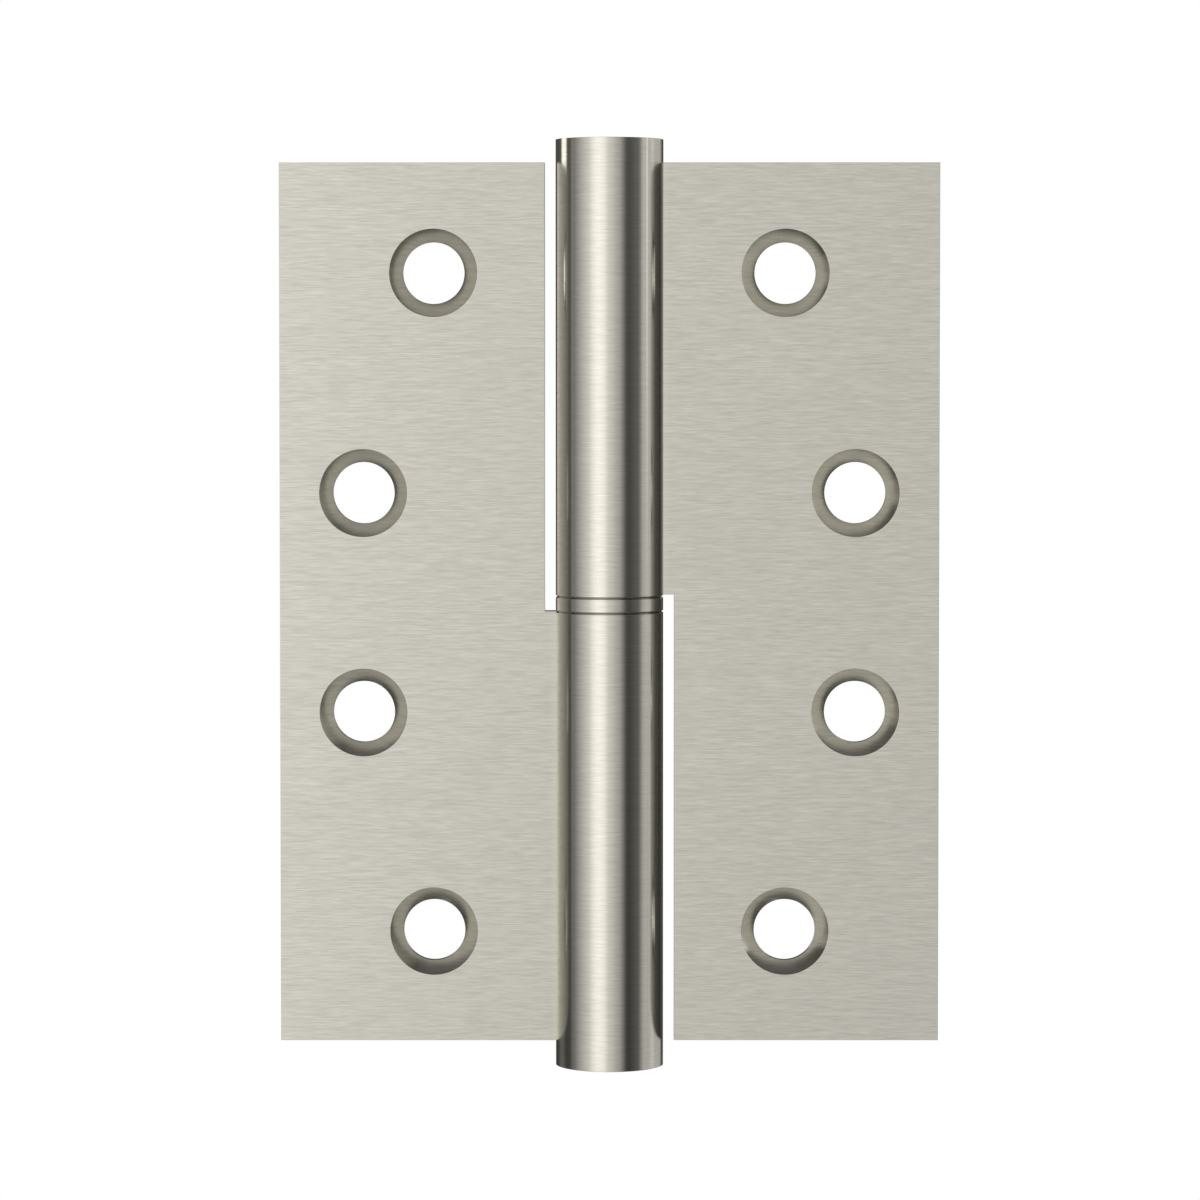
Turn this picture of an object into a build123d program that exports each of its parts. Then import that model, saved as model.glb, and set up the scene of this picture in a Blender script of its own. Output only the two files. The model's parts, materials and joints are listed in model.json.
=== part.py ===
from build123d import *
from math import radians, tan
import os

# Lift-off hinge, open flat: two leaves with screw holes, and a barrel in two lengths on one fixed pin.
#
# The frame half carries the lower barrel and the pin. The door half carries the upper barrel, which drops
# over the pin and rests on a washer, so that a door lifts straight off. The two halves have one form, the
# second turned half round about the line of sight, and only their bores differ.
#
# Millimetres. Z runs up the pin, X across the open leaves, and Y from the countersunk side to the back.
# The origin is on the pin's axis, midway between the barrel's two ends.

# Leaves
LEAF_HEIGHT = 100.0
OPEN_WIDTH = 75.0
LEAF_THICKNESS = 2.5
# How far the countersunk faces lie behind the pin's axis, which is half of the gap between closed leaves.
LEAF_SETBACK = 1.2

# Barrel
BARREL_DIAMETER = 12.2
# How far the barrel stands out beyond the leaves at each end.
BARREL_OVERHANG = 2.5
# Solid metal between each bore and its barrel's free end.
END_WALL = 8.0
WASHER_THICKNESS = 1.7

# Screw holes: the end rows sit in the column nearer the barrel, the rows between them in the outer one.
SCREW_ROWS = 4
END_ROW_INSET = 12.5
INNER_COLUMN_INSET = 17.5
OUTER_COLUMN_INSET = 9.5
SCREW_HOLE_DIAMETER = 7.0
COUNTERSINK_DIAMETER = 10.0
COUNTERSINK_ANGLE = 90.0

# Pin and its bores
PIN_DIAMETER = 7.0
PIN_FOOT_BEVEL = 0.5
# The tip tapers to find the upper bore when a door is hung.
PIN_TIP_HEIGHT = 3.0
PIN_TIP_DEPTH = 1.2
DRILL_POINT_ANGLE = 118.0
BORE_MOUTH_BEVEL = 0.5

# Clearances
# From each barrel to the edge of the other half's leaf beside it.
NOTCH_CLEARANCE = 1.25
# From each barrel's seam to its own leaf's edge, so that only the barrel meets the washer.
LEAF_EDGE_RELIEF = 0.1
# All round the pin, in the door half and in the washer. The frame half's bore grips the pin.
PIN_RUNNING_CLEARANCE = 0.05
# From the pin's tip to the end of the upper bore, so that the washer carries the door and not the pin.
PIN_TIP_GAP = 1.0

# Outside edges
# Bevels beside both seams, which leave a V-shaped groove on each side of the washer.
SEAM_BEVEL_HEIGHT = 0.15
SEAM_BEVEL_DEPTH = 0.2
FREE_END_BEVEL = 0.1

barrel_radius = BARREL_DIAMETER / 2
barrel_end = LEAF_HEIGHT / 2 + BARREL_OVERHANG
seam = WASHER_THICKNESS / 2
bore_end = barrel_end - END_WALL
pin_radius = PIN_DIAMETER / 2
running_radius = pin_radius + PIN_RUNNING_CLEARANCE
leaf_reach = OPEN_WIDTH / 2
leaf_end = LEAF_HEIGHT / 2


def turned(outline):
    """Turn a closed outline of (radius, height) points once round the pin's axis."""
    with BuildPart() as piece:
        with BuildSketch(Plane.XZ):
            with BuildLine():
                Polyline(*outline, close=True)
            make_face()
        revolve(axis=Axis.Z)
    return piece.part


def screw_centres():
    """Places of the frame leaf's screw holes, as (across, up), from the lowest row to the highest."""
    row_pitch = (LEAF_HEIGHT - 2 * END_ROW_INSET) / (SCREW_ROWS - 1)
    centres = []
    for row in range(SCREW_ROWS):
        is_end_row = row in (0, SCREW_ROWS - 1)
        inset = INNER_COLUMN_INSET if is_end_row else OUTER_COLUMN_INSET
        centres.append((inset - leaf_reach, END_ROW_INSET + row * row_pitch - leaf_end))
    return centres


def leaf():
    """The frame leaf: its lower length runs in to the barrel, its upper length clears the door's barrel."""
    tongue_top = -seam - LEAF_EDGE_RELIEF
    notch_edge = -barrel_radius - NOTCH_CLEARANCE
    countersunk_face = Plane.XZ.offset(-LEAF_SETBACK)
    with BuildPart(countersunk_face) as piece:
        with BuildSketch(countersunk_face):
            with BuildLine():
                Polyline(
                    (-leaf_reach, -leaf_end),
                    (0, -leaf_end),
                    (0, tongue_top),
                    (notch_edge, tongue_top),
                    (notch_edge, leaf_end),
                    (-leaf_reach, leaf_end),
                    close=True,
                )
            make_face()
        extrude(amount=-LEAF_THICKNESS)
        with Locations(*screw_centres()):
            CounterSinkHole(
                radius=SCREW_HOLE_DIAMETER / 2,
                counter_sink_radius=COUNTERSINK_DIAMETER / 2,
                counter_sink_angle=COUNTERSINK_ANGLE,
            )
    return piece.part


def barrel():
    """The lower barrel, a round bar from its free end up to its seam with the washer."""
    return turned([
        (0, -barrel_end),
        (barrel_radius - FREE_END_BEVEL, -barrel_end),
        (barrel_radius, -barrel_end + FREE_END_BEVEL),
        (barrel_radius, -seam - SEAM_BEVEL_HEIGHT),
        (barrel_radius - SEAM_BEVEL_DEPTH, -seam),
        (0, -seam),
    ])


def blind_bore(radius):
    """What the drill takes out of the lower barrel: straight sides, a pointed floor and an eased mouth."""
    point_depth = radius / tan(radians(DRILL_POINT_ANGLE / 2))
    return turned([
        (0, -bore_end - point_depth),
        (radius, -bore_end),
        (radius, -seam - BORE_MOUTH_BEVEL),
        (radius + BORE_MOUTH_BEVEL, -seam),
        (0, -seam),
    ])


def hinge_half(bore_radius):
    """A leaf and its barrel in one piece, as the frame half stands, bored from the seam."""
    return leaf() + barrel() - blind_bore(bore_radius)


def hinge_pin():
    """The fixed pin, from the floor of the lower bore to just short of the end of the upper one."""
    tip = bore_end - PIN_TIP_GAP
    return turned([
        (0, -bore_end),
        (pin_radius - PIN_FOOT_BEVEL, -bore_end),
        (pin_radius, -bore_end + PIN_FOOT_BEVEL),
        (pin_radius, tip - PIN_TIP_HEIGHT),
        (pin_radius - PIN_TIP_DEPTH, tip),
        (0, tip),
    ])


def bearing_washer():
    """The ring between the barrels, as wide as they are and bevelled like their seam ends."""
    return turned([
        (running_radius, -seam),
        (barrel_radius - SEAM_BEVEL_DEPTH, -seam),
        (barrel_radius, -seam + SEAM_BEVEL_HEIGHT),
        (barrel_radius, seam - SEAM_BEVEL_HEIGHT),
        (barrel_radius - SEAM_BEVEL_DEPTH, seam),
        (running_radius, seam),
    ])


pieces = {
    "frame_half": hinge_half(pin_radius),
    "hinge_pin": hinge_pin(),
    "bearing_washer": bearing_washer(),
    "door_half": Rot(Y=180) * hinge_half(running_radius),
}

os.makedirs("parts", exist_ok=True)
for name, piece in pieces.items():
    export_step(piece, f"parts/{name}.step")
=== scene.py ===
# %% [markdown]
# # A lift-off hinge in brushed satin nickel
#
# The hinge lies open flat. The left leaf is screwed to a door frame and carries the lower barrel with a pin
# in it. The right leaf is screwed to the door, and its barrel drops over the pin, down to a washer. Both
# leaves are plain plates with countersunk holes, so nearly all of the look is in two things: the brushed
# metal, and what the round barrel mirrors from the studio around it.
#
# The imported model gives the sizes. Each piece is made again here as a finer surface with its edges eased,
# in metres and in the same place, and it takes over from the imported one.

import json

import bmesh
import bpy
import numpy as np
from mathutils import Matrix, Vector
from mathutils.geometry import tessellate_polygon


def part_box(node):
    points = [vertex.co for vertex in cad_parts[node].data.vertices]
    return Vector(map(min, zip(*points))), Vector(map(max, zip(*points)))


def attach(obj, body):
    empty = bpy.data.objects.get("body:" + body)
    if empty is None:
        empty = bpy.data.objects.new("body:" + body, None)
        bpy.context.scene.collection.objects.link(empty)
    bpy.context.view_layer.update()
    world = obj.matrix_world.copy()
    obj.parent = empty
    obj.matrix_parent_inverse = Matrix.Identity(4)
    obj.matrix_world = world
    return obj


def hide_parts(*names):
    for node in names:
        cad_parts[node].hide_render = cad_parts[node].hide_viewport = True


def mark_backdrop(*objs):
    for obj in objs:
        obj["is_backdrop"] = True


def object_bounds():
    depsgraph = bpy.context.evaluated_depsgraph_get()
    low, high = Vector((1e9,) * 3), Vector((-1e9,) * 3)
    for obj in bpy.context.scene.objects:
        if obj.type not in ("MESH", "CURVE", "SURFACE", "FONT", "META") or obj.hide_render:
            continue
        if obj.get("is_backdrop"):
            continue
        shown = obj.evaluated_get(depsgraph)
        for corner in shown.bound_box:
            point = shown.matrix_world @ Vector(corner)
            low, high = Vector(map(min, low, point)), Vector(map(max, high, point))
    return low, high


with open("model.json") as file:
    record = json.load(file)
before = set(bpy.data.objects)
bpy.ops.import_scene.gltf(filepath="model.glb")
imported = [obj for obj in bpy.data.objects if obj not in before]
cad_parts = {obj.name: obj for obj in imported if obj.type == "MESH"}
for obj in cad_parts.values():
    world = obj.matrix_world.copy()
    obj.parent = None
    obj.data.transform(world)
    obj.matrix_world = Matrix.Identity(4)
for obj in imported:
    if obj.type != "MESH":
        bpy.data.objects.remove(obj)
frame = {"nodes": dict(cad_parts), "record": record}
cad_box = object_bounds()
print("pieces in the frame:", sorted(frame["nodes"]))


def mm(length):
    """A length in millimetres, or an array of them, in metres."""
    return np.asarray(length, float) * 0.001 if np.ndim(length) else length * 0.001


# %% [markdown]
# ## The camera
#
# The photograph was taken straight on: both leaves are true rectangles, so the film stood parallel to them.
# It was still a close view, because the barrel's ends curve and the holes show more wall the lower they
# are. The eye was a quarter of the way down the picture and about half a metre away. The camera stands at
# that eye. A shift of its frame alone would bring it down to the hinge, but would cut off views from other
# sides, so most of the way down is a tilt of about two degrees. It moves nothing by more than a pixel or so.

# %% Camera
PICTURE_SIDE = 1200                   # pixels, the photograph's width and height
LEAF_SCALE = 8.8                      # pixels to a millimetre on the leaves' front
AXIS_PIXEL = (609.5, 538.3)           # where the camera's own axis meets the picture
TILT = 2.15                           # degrees down
EYE_DISTANCE = mm(490)                # from the pin's axis
EYE_HEIGHT = mm(25.8)                 # above the middle of the pin
LEAF_SETBACK = mm(1.2)                # the leaves' front lies this far behind the pin's axis
SENSOR = 36.0                         # width in millimetres, as the lens is

# A lens is to its sensor as the distance is to the width that it sees there.
seen_width = mm(PICTURE_SIDE / LEAF_SCALE)
camera_data = bpy.data.cameras.new("camera")
camera_data.sensor_width = SENSOR
camera_data.lens = SENSOR * (EYE_DISTANCE + LEAF_SETBACK) / seen_width
camera_data.shift_x = (PICTURE_SIDE / 2 - AXIS_PIXEL[0]) / PICTURE_SIDE
camera_data.shift_y = (AXIS_PIXEL[1] - PICTURE_SIDE / 2) / PICTURE_SIDE
camera_data.clip_start = mm(10)
camera = bpy.data.objects.new("camera", camera_data)
camera.location = (0, -EYE_DISTANCE, EYE_HEIGHT)
camera.rotation_euler = (np.radians(90 - TILT), 0, 0)
bpy.context.scene.collection.objects.link(camera)
bpy.context.scene.camera = camera
print(f"lens {camera_data.lens:.1f} mm,",
      f"shift {camera_data.shift_x:.4f} across and {camera_data.shift_y:.4f} up")

# %% [markdown]
# ## Sizes
#
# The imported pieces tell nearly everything: the washer's box gives the barrel's radius and the seams, the
# frame half's box gives the leaf's reach and height, and the screw patterns give the holes. What a box can't
# tell, such as the leaf's thickness or the bore, is named here.

# %% Sizes from the frame
washer_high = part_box("bearing_washer")[1]
half_low, half_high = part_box("frame_half")
pin_low, pin_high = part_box("hinge_pin")
mounts = {mount["name"]: mount for mount in frame["record"]["mounts"]}

barrel_radius = washer_high.x
seam = washer_high.z
barrel_end = -half_low.z
leaf_reach = -half_low.x
leaf_end = half_high.z
leaf_front = LEAF_SETBACK
leaf_back = mounts["frame_leaf_back"]["pos_m"][1]
pin_radius = pin_high.x
pin_foot = pin_low.z
pin_tip = pin_high.z

NOTCH_CLEARANCE = mm(1.25)            # from a barrel to the other half's leaf beside it
LEAF_EDGE_RELIEF = mm(0.1)            # from a barrel's seam down to its own leaf's edge
RUNNING_CLEARANCE = mm(0.05)          # round the pin, in the door half and the washer
SEAM_BEVEL = mm((0.2, 0.15))          # depth and height of the bevels beside the washer
BORE_MOUTH = mm(0.5)                  # bevel at the mouth of each bore
BORE_POINT = mm(2.1)                  # depth of the drill's pointed floor
PIN_TIP_TAPER = mm((1.2, 3.0))        # depth and height of the pin's taper
PIN_FOOT_BEVEL = mm(0.5)
COUNTERSINK_RADIUS = mm(5.0)
screw_radius = mm(mounts["frame_leaf_inner_screws"]["dims"]["hole_r_mm"])
countersink_depth = COUNTERSINK_RADIUS - screw_radius    # a right-angled cone

screw_holes = []
for name in ("frame_leaf_inner_screws", "frame_leaf_outer_screws"):
    centre = mounts[name]["pos_m"]
    half_spacing = mm(mounts[name]["dims"]["spacing_y_mm"]) / 2
    screw_holes += [(centre[0], centre[2] - half_spacing), (centre[0], centre[2] + half_spacing)]
print(f"barrel {2000 * barrel_radius:.1f} mm across, leaf {1000 * (leaf_back - leaf_front):.1f} mm thick")
print("screw holes at", [(round(1000 * x, 1), round(1000 * z, 1)) for x, z in screw_holes])

# %% [markdown]
# ## Eased edges
#
# No edge on real metal is perfectly sharp. Polishing and plating leave each one rounded by a few hundredths
# of a millimetre, and that thin round catches a line of light. The outline that makes a surface gets the
# round before it is swept, so one function serves the barrel, the washer, the pin, the leaf's edges and the
# holes. Just outside each round it holds one more point, so that the shading of the round doesn't bleed
# along the flat beside it.

# %% Outlines and surfaces
EASE = mm(0.03)                       # cut from each side of a corner
WASHER_EASE = mm(0.02)                # the washer's outer corners are close together
HOLE_EASE = mm(0.015)                 # drilled edges stayed crisper
HOLD = mm(0.02)                       # from the round to the point that holds the flat
EASE_STEPS = 4
ROUND_STEPS = 192                     # around the barrel, the washer and the pin
HOLE_STEPS = 96                       # around each screw hole
WELD = mm(0.0005)                     # points closer than this are one


def eased(corners, ease=EASE):
    """An outline through the corners with a round at each inner one.

    Each round is the quadratic curve that starts and ends a distance ease from the corner and is pulled
    towards it: (1 - s)^2 times its start, plus 2 s (1 - s) times the corner, plus s^2 times its end.
    """
    corners = np.asarray(corners, float)
    back = corners[:-2] - corners[1:-1]
    ahead = corners[2:] - corners[1:-1]
    back /= np.linalg.norm(back, axis=1, keepdims=True)
    ahead /= np.linalg.norm(ahead, axis=1, keepdims=True)
    corner = corners[1:-1, None]
    start = corner + ease * back[:, None]
    end = corner + ease * ahead[:, None]
    s = np.linspace(0, 1, EASE_STEPS + 1)[None, :, None]
    curve = (1 - s) ** 2 * start + 2 * s * (1 - s) * corner + s ** 2 * end
    curve = np.concatenate([start + HOLD * back[:, None], curve, end + HOLD * ahead[:, None]], axis=1)
    return np.concatenate([corners[:1], curve.reshape(-1, 2), corners[-1:]])


def circle(steps):
    """Directions around a circle, as an array of (cosine, sine)."""
    angle = np.linspace(0, 2 * np.pi, steps, endpoint=False)
    return np.stack([np.cos(angle), np.sin(angle)], axis=1)


def band(points):
    """The quads of a surface whose points lie in rows and whose last column joins the first."""
    rows, columns = points.shape[:2]
    row, column = np.meshgrid(np.arange(rows - 1), np.arange(columns), indexing="ij")
    here = row * columns
    beside = (column + 1) % columns
    above = here + columns
    quads = np.stack([here + column, here + beside, above + beside, above + column], axis=-1)
    return points.reshape(-1, 3), quads.reshape(-1, 4).tolist(), True


def flat(loops):
    """A flat face with holes: the first loop is its outline, the others its holes, cut into triangles."""
    triangles = tessellate_polygon([[Vector(point) for point in loop] for loop in loops])
    return np.concatenate(loops), [list(triangle) for triangle in triangles], False


def closed_piece(name, patches):
    """One closed mesh from patches that share their borders. Round patches shade smooth, flat ones flat."""
    points, faces, smooth = [], [], []
    first = 0
    for patch_points, patch_faces, is_round in patches:
        points.append(patch_points)
        faces += (np.array(patch_faces) + first).tolist()
        smooth += [is_round] * len(patch_faces)
        first += len(patch_points)
    mesh = bpy.data.meshes.new(name)
    mesh.from_pydata(np.concatenate(points).tolist(), [], faces)
    mesh.polygons.foreach_set("use_smooth", smooth)
    weld = bmesh.new()
    weld.from_mesh(mesh)
    bmesh.ops.remove_doubles(weld, verts=weld.verts, dist=WELD)
    bmesh.ops.recalc_face_normals(weld, faces=weld.faces)
    weld.to_mesh(mesh)
    weld.free()
    piece = bpy.data.objects.new(name, mesh)
    bpy.context.scene.collection.objects.link(piece)
    return piece


def open_edges(piece):
    """How many edges of a mesh don't have exactly two faces: none, on a closed skin."""
    loops = np.zeros(len(piece.data.loops), int)
    piece.data.loops.foreach_get("edge_index", loops)
    return int(np.count_nonzero(np.bincount(loops, minlength=len(piece.data.edges)) != 2))


# %% [markdown]
# ## Turned pieces
#
# The barrels, the washer and the pin come off a lathe. A surface of revolution is a function of two
# parameters, a place along the outline and an angle: the outline's radius times the cosine and sine of the
# angle gives the place across, and its height stays.

# %% Pin and washer
def turned(outline, steps=ROUND_STEPS):
    """The surface that an outline of (radius, height) sweeps around the pin's axis."""
    directions = circle(steps)
    across = outline[:, 0, None, None] * directions[None]
    height = np.broadcast_to(outline[:, 1, None, None], across.shape[:2] + (1,))
    return band(np.concatenate([across, height], axis=2))


hinge_pin = closed_piece("hinge_pin_turned", [turned(eased([
    (0, pin_foot),
    (pin_radius - PIN_FOOT_BEVEL, pin_foot),
    (pin_radius, pin_foot + PIN_FOOT_BEVEL),
    (pin_radius, pin_tip - PIN_TIP_TAPER[1]),
    (pin_radius - PIN_TIP_TAPER[0], pin_tip),
    (0, pin_tip),
]))])

# The washer's outside and its bore have rounds of their own, and meet on its two flat faces.
inner_radius = pin_radius + RUNNING_CLEARANCE
meeting_radius = inner_radius + mm(0.3)
bevel_radius = barrel_radius - SEAM_BEVEL[0]
washer_side = eased([
    (meeting_radius, -seam),
    (bevel_radius, -seam),
    (barrel_radius, -seam + SEAM_BEVEL[1]),
    (barrel_radius, seam - SEAM_BEVEL[1]),
    (bevel_radius, seam),
    (meeting_radius, seam),
], ease=WASHER_EASE)
washer_bore = eased([
    (meeting_radius, seam),
    (inner_radius, seam),
    (inner_radius, -seam),
    (meeting_radius, -seam),
])
washer_outline = np.concatenate([washer_side, washer_bore[1:]])
bearing_washer = closed_piece("bearing_washer_turned", [turned(washer_outline)])
print("open edges: pin", open_edges(hinge_pin), "and washer", open_edges(bearing_washer))

# %% [markdown]
# ## The leaf
#
# A leaf is a flat plate, blanked out, drilled and countersunk. Its skin has three kinds of patch: a band
# that carries the edge's outline once around the blank, a band down each screw hole, and a flat face at the
# front and at the back that the bands cut out. At a corner the band turns along the mitre, which is the sum
# of the two sides' inward directions.
#
# Its inner end runs a little way into the barrel, where the two become one piece.

# %% Leaf
FACE_MARGIN = mm(0.3)                 # from an edge or a hole's rim to where the flat face begins
ROOT_DEPTH = mm(1.5)                  # how far the leaf runs in under the barrel's surface


def edge_band(blank, outline):
    """The rim of a plate: at each corner of the blank, (inset, depth) runs along the mitre and backwards."""
    side = np.roll(blank, -1, axis=0) - blank
    side /= np.linalg.norm(side, axis=1, keepdims=True)
    inward = np.stack([-side[:, 1], side[:, 0]], axis=1)
    mitre = inward + np.roll(inward, 1, axis=0)
    across = blank[None] + outline[:, 0, None, None] * mitre[None]
    depth = np.broadcast_to(leaf_front + outline[:, 1, None], across.shape[:2])
    return band(np.stack([across[..., 0], depth, across[..., 1]], axis=2))


def hole_band(centre, outline):
    """The wall of a screw hole: (radius, depth) turned around the hole's own axis."""
    across = np.array(centre) + outline[:, 0, None, None] * circle(HOLE_STEPS)[None]
    depth = np.broadcast_to(leaf_front + outline[:, 1, None], across.shape[:2])
    return band(np.stack([across[..., 0], depth, across[..., 1]], axis=2))


def leaf(name):
    """The frame half's leaf, notched beside the other barrel, as one closed skin."""
    thickness = leaf_back - leaf_front
    root = -(barrel_radius - ROOT_DEPTH)
    notch = -(barrel_radius + NOTCH_CLEARANCE)
    tongue_top = -seam - LEAF_EDGE_RELIEF
    blank = np.array([
        (-leaf_reach, -leaf_end),
        (root, -leaf_end),
        (root, tongue_top),
        (notch, tongue_top),
        (notch, leaf_end),
        (-leaf_reach, leaf_end),
    ])
    edge = eased([(FACE_MARGIN, 0), (0, 0), (0, thickness), (FACE_MARGIN, thickness)])
    hole = eased([
        (COUNTERSINK_RADIUS + FACE_MARGIN, 0),
        (COUNTERSINK_RADIUS, 0),
        (screw_radius, countersink_depth),
        (screw_radius, thickness),
        (screw_radius + FACE_MARGIN, thickness),
    ], ease=HOLE_EASE)
    bands = [edge_band(blank, edge)] + [hole_band(centre, hole) for centre in screw_holes]
    steps = [len(blank)] + [HOLE_STEPS] * len(screw_holes)
    front = flat([points[:count] for (points, _, _), count in zip(bands, steps)])
    back = flat([points[-count:] for (points, _, _), count in zip(bands, steps)])
    return closed_piece(name, bands + [front, back])


# %% [markdown]
# ## Two halves of one form
#
# Leaf and barrel are one piece of metal, so their skins are joined into one closed skin by a union, and
# nothing is left inside. The door half is the frame half turned half round about the line of sight, with a
# bore that runs free on the pin where the frame half's grips it.

# %% Halves
SHARP_ANGLE = 35                      # degrees between two faces from which their edge shades sharp


def barrel(name, bore_radius):
    """The lower barrel and its blind bore: one outline up the outside, in over the seam and down the bore."""
    return closed_piece(name, [turned(eased([
        (0, -barrel_end),
        (barrel_radius, -barrel_end),
        (barrel_radius, -seam - SEAM_BEVEL[1]),
        (bevel_radius, -seam),
        (bore_radius + BORE_MOUTH, -seam),
        (bore_radius, -seam - BORE_MOUTH),
        (bore_radius, pin_foot),
        (0, pin_foot - BORE_POINT),
    ]))])


def hinge_half(name, bore_radius):
    """A leaf and its barrel as the frame half stands, joined into one closed skin."""
    half = barrel(name, bore_radius)
    plate = leaf(name + "_plate")
    union = half.modifiers.new("union", "BOOLEAN")
    union.operation = "UNION"
    union.solver = "EXACT"
    union.object = plate
    joined = bpy.data.meshes.new_from_object(half.evaluated_get(bpy.context.evaluated_depsgraph_get()))
    half.modifiers.remove(union)
    half.data = joined
    joined.name = name
    bpy.data.objects.remove(plate)
    joined.set_sharp_from_angle(angle=np.radians(SHARP_ANGLE))
    return half


frame_half = hinge_half("frame_half_brushed", pin_radius)
door_half = hinge_half("door_half_brushed", inner_radius)
door_half.data.transform(Matrix.Rotation(np.pi, 4, "Y"))
for half in (frame_half, door_half):
    print(half.name, len(half.data.polygons), "faces,", open_edges(half), "open edges")

# %% [markdown]
# ## Materials
#
# A few small helpers come first. Colours are written as they look on a screen, and turned to linear light.

# %% Helpers for materials
def colour(hex_code):
    """A screen colour such as "#CDC8BD" as linear light, by the sRGB curve, with full alpha."""
    value = np.array([int(hex_code[place:place + 2], 16) for place in (1, 3, 5)]) / 255
    linear = np.where(value <= 0.04045, value / 12.92, ((value + 0.055) / 1.055) ** 2.4)
    return (*linear.tolist(), 1.0)


def add(tree, kind, inputs=None, **settings):
    """Adds a node. Settings are its own options; inputs are values, or sockets that are linked in."""
    node = tree.nodes.new(kind)
    for option, value in settings.items():
        setattr(node, option, value)
    for socket, value in (inputs or {}).items():
        if isinstance(value, bpy.types.NodeSocket):
            tree.links.new(value, node.inputs[socket])
        else:
            node.inputs[socket].default_value = value
    return node


def calculate(tree, operation, *values):
    """One step of arithmetic between numbers or sockets."""
    return add(tree, "ShaderNodeMath", dict(enumerate(values)), operation=operation).outputs[0]


def new_material(name):
    """A new node material, its tree and the output node, which is all that the tree holds."""
    material = bpy.data.materials.new(name)
    material.use_nodes = True
    material.node_tree.nodes.clear()
    return material, material.node_tree, add(material.node_tree, "ShaderNodeOutputMaterial")


# %% [markdown]
# ## Brushed satin nickel
#
# The finish is nickel plate over steel, brushed with a belt before plating. The belt ran straight across the
# leaves and around the barrels, so every scratch lies at one height. Nickel is a little warm: it keeps more
# red than blue.
#
# Scratches do two things. They spread reflections at right angles to themselves, up and down here, and
# leave them almost sharp sideways, which is why the barrel shows upright stripes with crisp sides. And each
# one is a little lighter or darker than the next. The first is the shader's anisotropy, whose tangent is the
# direction of the spread. The second is noise, stretched until its spots are lines about two millimetres
# long and a tenth of a millimetre high. The noise is read in all three directions, so it follows the leaf,
# wraps around the barrel and runs down into the countersinks with no seam.

# %% Satin nickel
SCRATCH_LENGTH = mm(2.2)
SCRATCH_PITCH = mm(0.115)             # from one scratch to the next
ROW_STEP = 7.381                      # from one scratch's slice of the noise to the next, far from whole
GRAIN_RANGE = (0.23, 0.77)            # the noise's values for the darkest and the lightest scratch
LEAF_SCORING = 0.905                  # how bright the leaves' dark scratches are, next to the barrel's
SCORING_EDGE = mm((0.2, 0.7))         # beyond the barrel's side, where that starts and where it is complete
COUNTERSINK_PAINTED_SHADE = 0.965        # painted shade: how bright the countersinks are drawn, next to the leaves
COUNTERSINK_SHADE_EDGE = mm((0.02, -0.03))  # beyond the countersink's rim, in the same way
GRAZING_TINT = (0.84, 0.83, 0.81, 1)  # what it mirrors of red, green and blue at a glancing angle


def darkened(tree, tone, distance, near, far, level):
    """A colour times a factor that goes from 1 to the level as a distance goes from near to far."""
    factor = add(tree, "ShaderNodeMapRange", {"Value": distance, "From Min": near, "From Max": far,
                                              "To Min": 1.0, "To Max": level}).outputs[0]
    return add(tree, "ShaderNodeVectorMath", {0: tone, "Scale": factor}, operation="SCALE").outputs[0]


def from_screw_hole(tree, x, z):
    """How far a point lies from the axis of the nearest screw hole, on either leaf."""
    place = add(tree, "ShaderNodeCombineXYZ", {"X": calculate(tree, "ABSOLUTE", x), "Y": z}).outputs[0]
    nearest = leaf_reach
    for hole_x, hole_z in screw_holes:
        away = add(tree, "ShaderNodeVectorMath", {0: place, 1: (-hole_x, hole_z, 0)}, operation="DISTANCE")
        nearest = calculate(tree, "MINIMUM", away.outputs["Value"], nearest)
    return nearest


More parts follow.
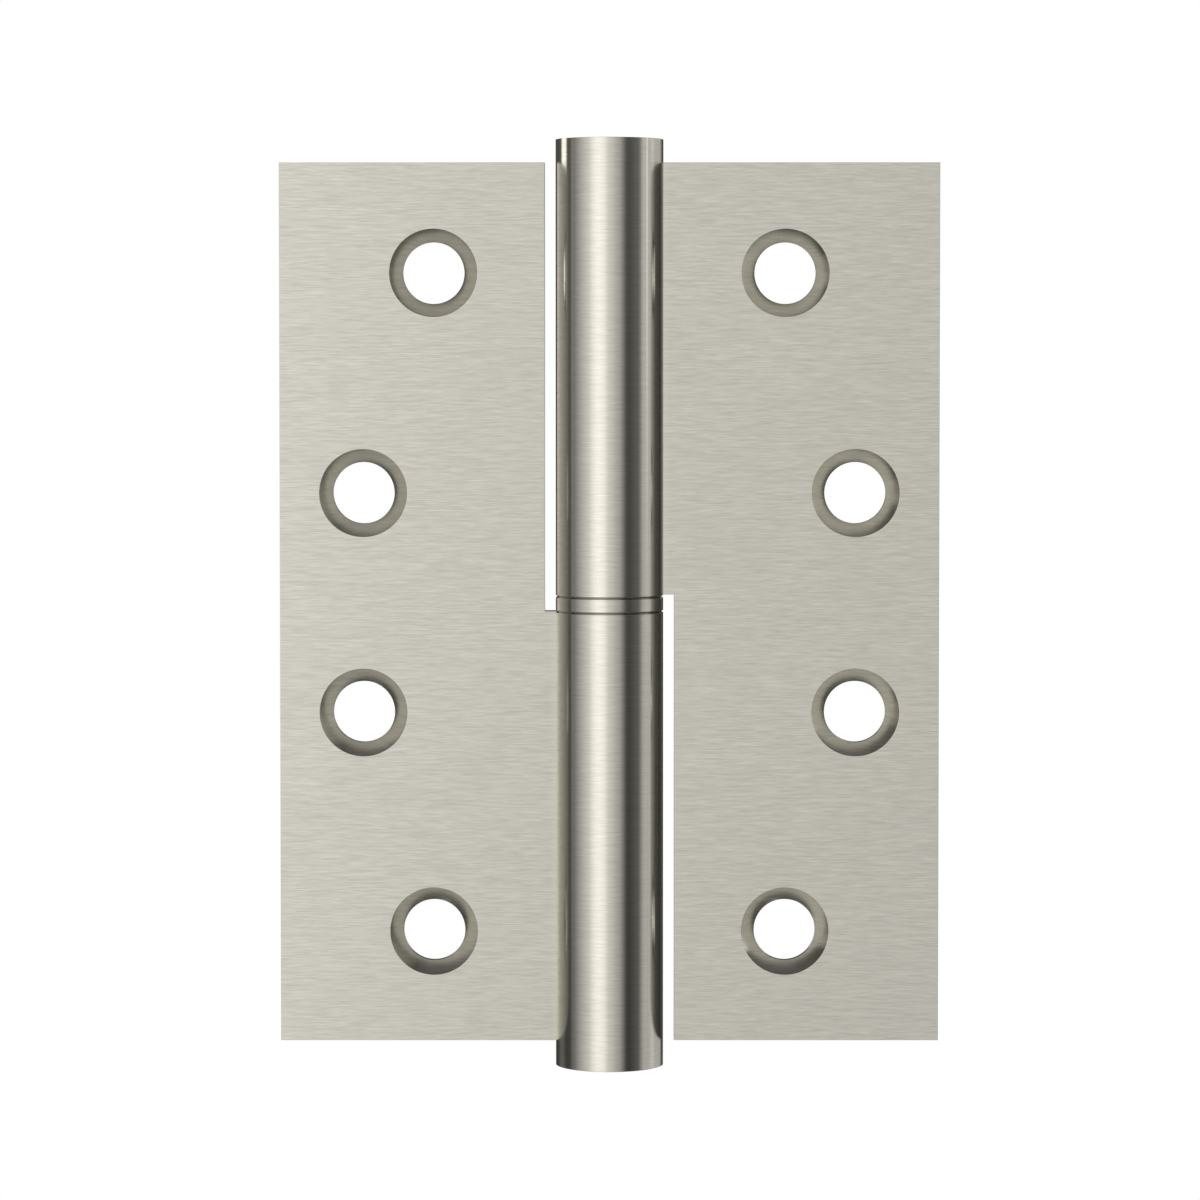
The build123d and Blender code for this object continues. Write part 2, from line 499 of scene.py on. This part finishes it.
def brushed_metal(name, light, dark, across, along):
    """Metal with level scratches that vary between two colours.

    across and along are how rough it is at right angles to the scratches and along them, as the mean slopes
    a and b of its facets. The shader wants roughness (a b)^(1/4) and anisotropy (1 - b / a) / 0.9.
    """
    material, tree, output = new_material(name)
    place = add(tree, "ShaderNodeTexCoord").outputs["Object"]
    # Each scratch is a row of its own: its number, times a step far from whole, picks its own slice of noise.
    x, y, z = add(tree, "ShaderNodeSeparateXYZ", {0: place}).outputs
    row = calculate(tree, "FLOOR", calculate(tree, "MULTIPLY", z, 1 / SCRATCH_PITCH))
    grain_place = add(tree, "ShaderNodeCombineXYZ", {
        "X": calculate(tree, "MULTIPLY", x, 1 / SCRATCH_LENGTH),
        "Y": calculate(tree, "MULTIPLY", y, 1 / SCRATCH_LENGTH),
        "Z": calculate(tree, "MULTIPLY", row, ROW_STEP),
    }).outputs[0]
    noise = add(tree, "ShaderNodeTexNoise", {"Vector": grain_place, "Scale": 1.0, "Detail": 1.0,
                                             "Roughness": 0.5}).outputs[0]
    grain = add(tree, "ShaderNodeMapRange", {"Value": noise, "From Min": GRAIN_RANGE[0],
                                             "From Max": GRAIN_RANGE[1]}).outputs[0]
    # The belt scored the flat leaves deeper than the barrel, so their dark scratches are darker.
    scored = darkened(tree, dark[:3], calculate(tree, "ABSOLUTE", x),
                    *(barrel_radius + SCORING_EDGE), LEAF_SCORING)
    # The mix's sockets 6 and 7 are its two colours, and its socket 2 is the mixed one.
    tone = add(tree, "ShaderNodeMix", {"Factor": grain, 6: scored, 7: light}, data_type="RGBA").outputs[2]
    # Painted shade: the countersinks are drawn a little darker, as the shade that falls in these hollows.
    tone = darkened(tree, tone, from_screw_hole(tree, x, z),
                  *(COUNTERSINK_RADIUS + COUNTERSINK_SHADE_EDGE), COUNTERSINK_PAINTED_SHADE)
    # Straight up on upright faces. The part away from the pin's axis serves the level ones.
    away = add(tree, "ShaderNodeVectorMath", {0: place, 1: (0.5, 0.5, 0)}, operation="MULTIPLY").outputs[0]
    spread = add(tree, "ShaderNodeVectorMath", {0: away, 1: (0, 0, 1)}, operation="ADD").outputs[0]
    spread = add(tree, "ShaderNodeVectorTransform", {"Vector": spread}, vector_type="VECTOR",
                 convert_from="OBJECT", convert_to="WORLD").outputs[0]
    metal = add(tree, "ShaderNodeBsdfPrincipled", {
        "Base Color": tone,
        "Metallic": 1.0,
        "Roughness": (across * along) ** 0.25,
        "Anisotropic": (1 - along / across) / 0.9,
        "Specular Tint": GRAZING_TINT,
        "Tangent": spread,
    })
    tree.links.new(metal.outputs[0], output.inputs["Surface"])
    return material


satin_nickel = brushed_metal("satin_nickel_brushed", light=colour("#D5D3CA"), dark=colour("#C8C6BD"),
                             across=0.03, along=0.016)

# %% [markdown]
# ## Ground steel
#
# The pin is bare steel, ground round rather than brushed. It shows only when the door is lifted off. It is
# greyer than nickel, and its grinding marks also run around it.

# %% Bright steel
bright_steel = brushed_metal("bright_steel_ground", light=colour("#CACAC9"), dark=colour("#B8B8B7"),
                             across=0.03, along=0.012)

# %% Pieces take over from the frame
for piece, body, node, slot, material in (
    (frame_half, "frame", "frame_half", "satin_nickel", satin_nickel),
    (hinge_pin, "frame", "hinge_pin", "bright_steel", bright_steel),
    (bearing_washer, "washer", "bearing_washer", "satin_nickel", satin_nickel),
    (door_half, "door", "door_half", "satin_nickel", satin_nickel),
):
    piece.data.materials.clear()
    piece.data.materials.append(material)
    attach(piece, body)
    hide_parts(node)
    print(f"{piece.name} rides on {body} in {material.name}")

# %% [markdown]
# ## The studio
#
# Polished metal has hardly any look of its own: it shows the room. The barrel is a convex mirror that folds
# the whole room into a dozen millimetres, so its stripes tell where the lamps stood. From left to right it
# shows a strip lamp behind on the left, a wide soft lamp rising towards a brighter middle just left of the
# camera, a dark gap to the right of the camera, and a pale card on the right with a thin lamp in front of it.
# The leaves face the camera, so they show only the light beside it, and the countersinks also show the dim
# room above, below and to the sides. Two fills and a pale wall behind the hinge light its back, which only
# views from other sides show.
#
# The lamps hang on a dome around the hinge. It could be one lamp object each, but the dome makes their soft
# edges easy: its glow is a sum of windows, each a smooth step in the angle around the hinge times one in the
# height above the horizon. The camera sees through the dome.

# %% Light dome
DOME_RADIUS = 4.0                     # metres
DOME_RINGS = 24
DOME_STEPS = 64

# Each lamp's middle, half its width and the width of its soft edges in degrees round from the camera towards
# the right, then the same three in degrees above the horizon, and last its brightness.
LAMPS = {
    "strip behind left": ((-114.7, 9, 6), (17, 18, 6), 1.57),
    "glow below the strip": ((-126, 11, 16), (-10, 10, 12), 0.09),
    "spill beside the strip": ((-87, 1.6, 4), (12, 20, 20), 0.18),
    "wide diffuser": ((-33, 32.5, 71), (0, 35, 64), 0.93),
    "main softbox": ((-24, 17, 12), (0, 35, 64), 0.23),
    "front diffuser": ((-0.6, 29.9, 20), (0, 35, 64), 0.36),
    "plateau right of the camera": ((6.5, 3.5, 7), (0, 35, 64), 0.035),
    "card at the right": ((107.7, 36.3, 20), (-3, 20, 14), 0.54),
    "shade of the card": ((60, 3, 34), (-3, 20, 14), 0.11),
    "middle of the card": ((105, 1, 26), (-3, 20, 14), 0.40),
    "thin lamp before the card": ((87.8, 1.7, 4), (9.7, 10, 9), 0.74),
    "glow beside the thin lamp": ((77, 4, 8), (9.7, 10, 9), 0.14),
    "fill behind, above": ((180, 70, 20), (52, 22, 16), 0.20),
    "fill behind, below": ((180, 70, 20), (-46, 28, 16), 0.6),
    "pale wall straight behind": ((180, 12, 8), (-9.5, 9.5, 6), 0.42),
    "light thrown up by the floor": ((0, 200, 1), (-58, 18, 16), 0.12),
}
# The unlit room is dimmer below the horizon than above it: its brightness goes from low to high between two
# heights in degrees.
DIM_LOW, DIM_HIGH = 0.03, 0.13
DIM_FROM, DIM_TO = -20, 12


def window(tree, angle, middle, half_width, soft_edge, level=1.0):
    """A smooth step from level down to nothing as an angle, in degrees, leaves its middle either way."""
    away = calculate(tree, "WRAP", calculate(tree, "SUBTRACT", angle, middle), 180, -180)
    return add(tree, "ShaderNodeMapRange", {
        "Value": calculate(tree, "ABSOLUTE", away),
        "From Min": half_width + soft_edge / 2,
        "From Max": half_width - soft_edge / 2,
        "To Max": level,
    }, interpolation_type="SMOOTHSTEP").outputs[0]


dome_material, tree, output = new_material("soft_lamps")
place = add(tree, "ShaderNodeTexCoord").outputs["Object"]
x, y, z = add(tree, "ShaderNodeSeparateXYZ", {0: place}).outputs
around = calculate(tree, "DEGREES", calculate(tree, "ARCTAN2", x, calculate(tree, "MULTIPLY", y, -1)))
above = calculate(tree, "DEGREES", calculate(tree, "ARCSINE", calculate(tree, "DIVIDE", z, DOME_RADIUS)))
glow = add(tree, "ShaderNodeMapRange", {"Value": above, "From Min": DIM_FROM, "From Max": DIM_TO,
                                        "To Min": DIM_LOW, "To Max": DIM_HIGH}).outputs[0]
for sideways, upright, level in LAMPS.values():
    lamp = calculate(tree, "MULTIPLY", window(tree, around, *sideways, level), window(tree, above, *upright))
    glow = calculate(tree, "ADD", glow, lamp)
lamps = add(tree, "ShaderNodeEmission", {"Color": colour("#FFFEFB"), "Strength": glow})
tree.links.new(lamps.outputs[0], output.inputs["Surface"])

# The dome's own outline is half a circle, turned like any other piece. Its ends are at the poles.
height = np.linspace(-np.pi / 2, np.pi / 2, DOME_RINGS + 1)
dome_outline = DOME_RADIUS * np.stack([np.cos(height), np.sin(height)], axis=1)
light_dome = closed_piece("light_dome", [turned(dome_outline, DOME_STEPS)])
light_dome.data.materials.append(dome_material)
light_dome.visible_camera = False
print(len(LAMPS), "lamps on the dome")

# %% [markdown]
# The hinge hangs free on white, so its floor lies far below. A large soft lamp overhead lights the floor and
# throws the hinge's shadow on it. Lamp and floor are kept out of the metal's reflections, as a photographer
# would with flags, because the photograph shows a dim room above and below the hinge.

# %% Floor, floor lamp and white background
OVERHEAD_SIDE = 1.2                   # metres
OVERHEAD_HEIGHT = 1.6                 # metres above the middle of the hinge
OVERHEAD_RADIANCE = 6.0               # watts from each square metre into each steradian
FLOOR_HEIGHT = -0.55                  # metres, below the middle of the hinge
FLOOR_THICKNESS = 0.01
FLOOR_RADIUS = 0.5

overhead_data = bpy.data.lights.new("overhead", "AREA")
overhead_data.size = OVERHEAD_SIDE
# A lamp's power spreads over its area and over pi, so this gives its surface that radiance.
overhead_data.energy = OVERHEAD_RADIANCE * np.pi * OVERHEAD_SIDE ** 2
overhead = bpy.data.objects.new("overhead", overhead_data)
overhead.location = (0, 0, OVERHEAD_HEIGHT)
overhead.visible_camera = False
overhead.visible_glossy = False
bpy.context.scene.collection.objects.link(overhead)

floor_material, tree, output = new_material("pale_floor")
paper = add(tree, "ShaderNodeBsdfPrincipled", {"Base Color": colour("#F4F4F2"), "Roughness": 0.9})
tree.links.new(paper.outputs[0], output.inputs["Surface"])
underside = FLOOR_HEIGHT - FLOOR_THICKNESS
floor_outline = np.array([(0, underside), (FLOOR_RADIUS, underside),
                          (FLOOR_RADIUS, FLOOR_HEIGHT), (0, FLOOR_HEIGHT)])
floor = closed_piece("floor", [turned(floor_outline, DOME_STEPS)])
floor.data.materials.append(floor_material)
floor.visible_glossy = False
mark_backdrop(floor, light_dome)

world = bpy.data.worlds.new("white_background")
world.use_nodes = True
tree = world.node_tree
tree.nodes.clear()
white = add(tree, "ShaderNodeBackground", {"Color": (1, 1, 1, 1), "Strength": 1.0})
add(tree, "ShaderNodeOutputWorld", {"Surface": white.outputs[0]})
bpy.context.scene.world = world
bpy.context.scene.view_settings.view_transform = "Standard"

# %% [markdown]
# ## The two boxes
#
# The imported model's box and the dressed model's box are both printed. The dressed model has to keep
# the imported model's box.

# %% Size and end
boxes = {
    "cad": [list(corner) for corner in cad_box],
    "visual": [list(corner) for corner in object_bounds()],
}
for name, (low, high) in boxes.items():
    print(name, "box", [round(1000 * (b - a), 3) for a, b in zip(low, high)], "mm")
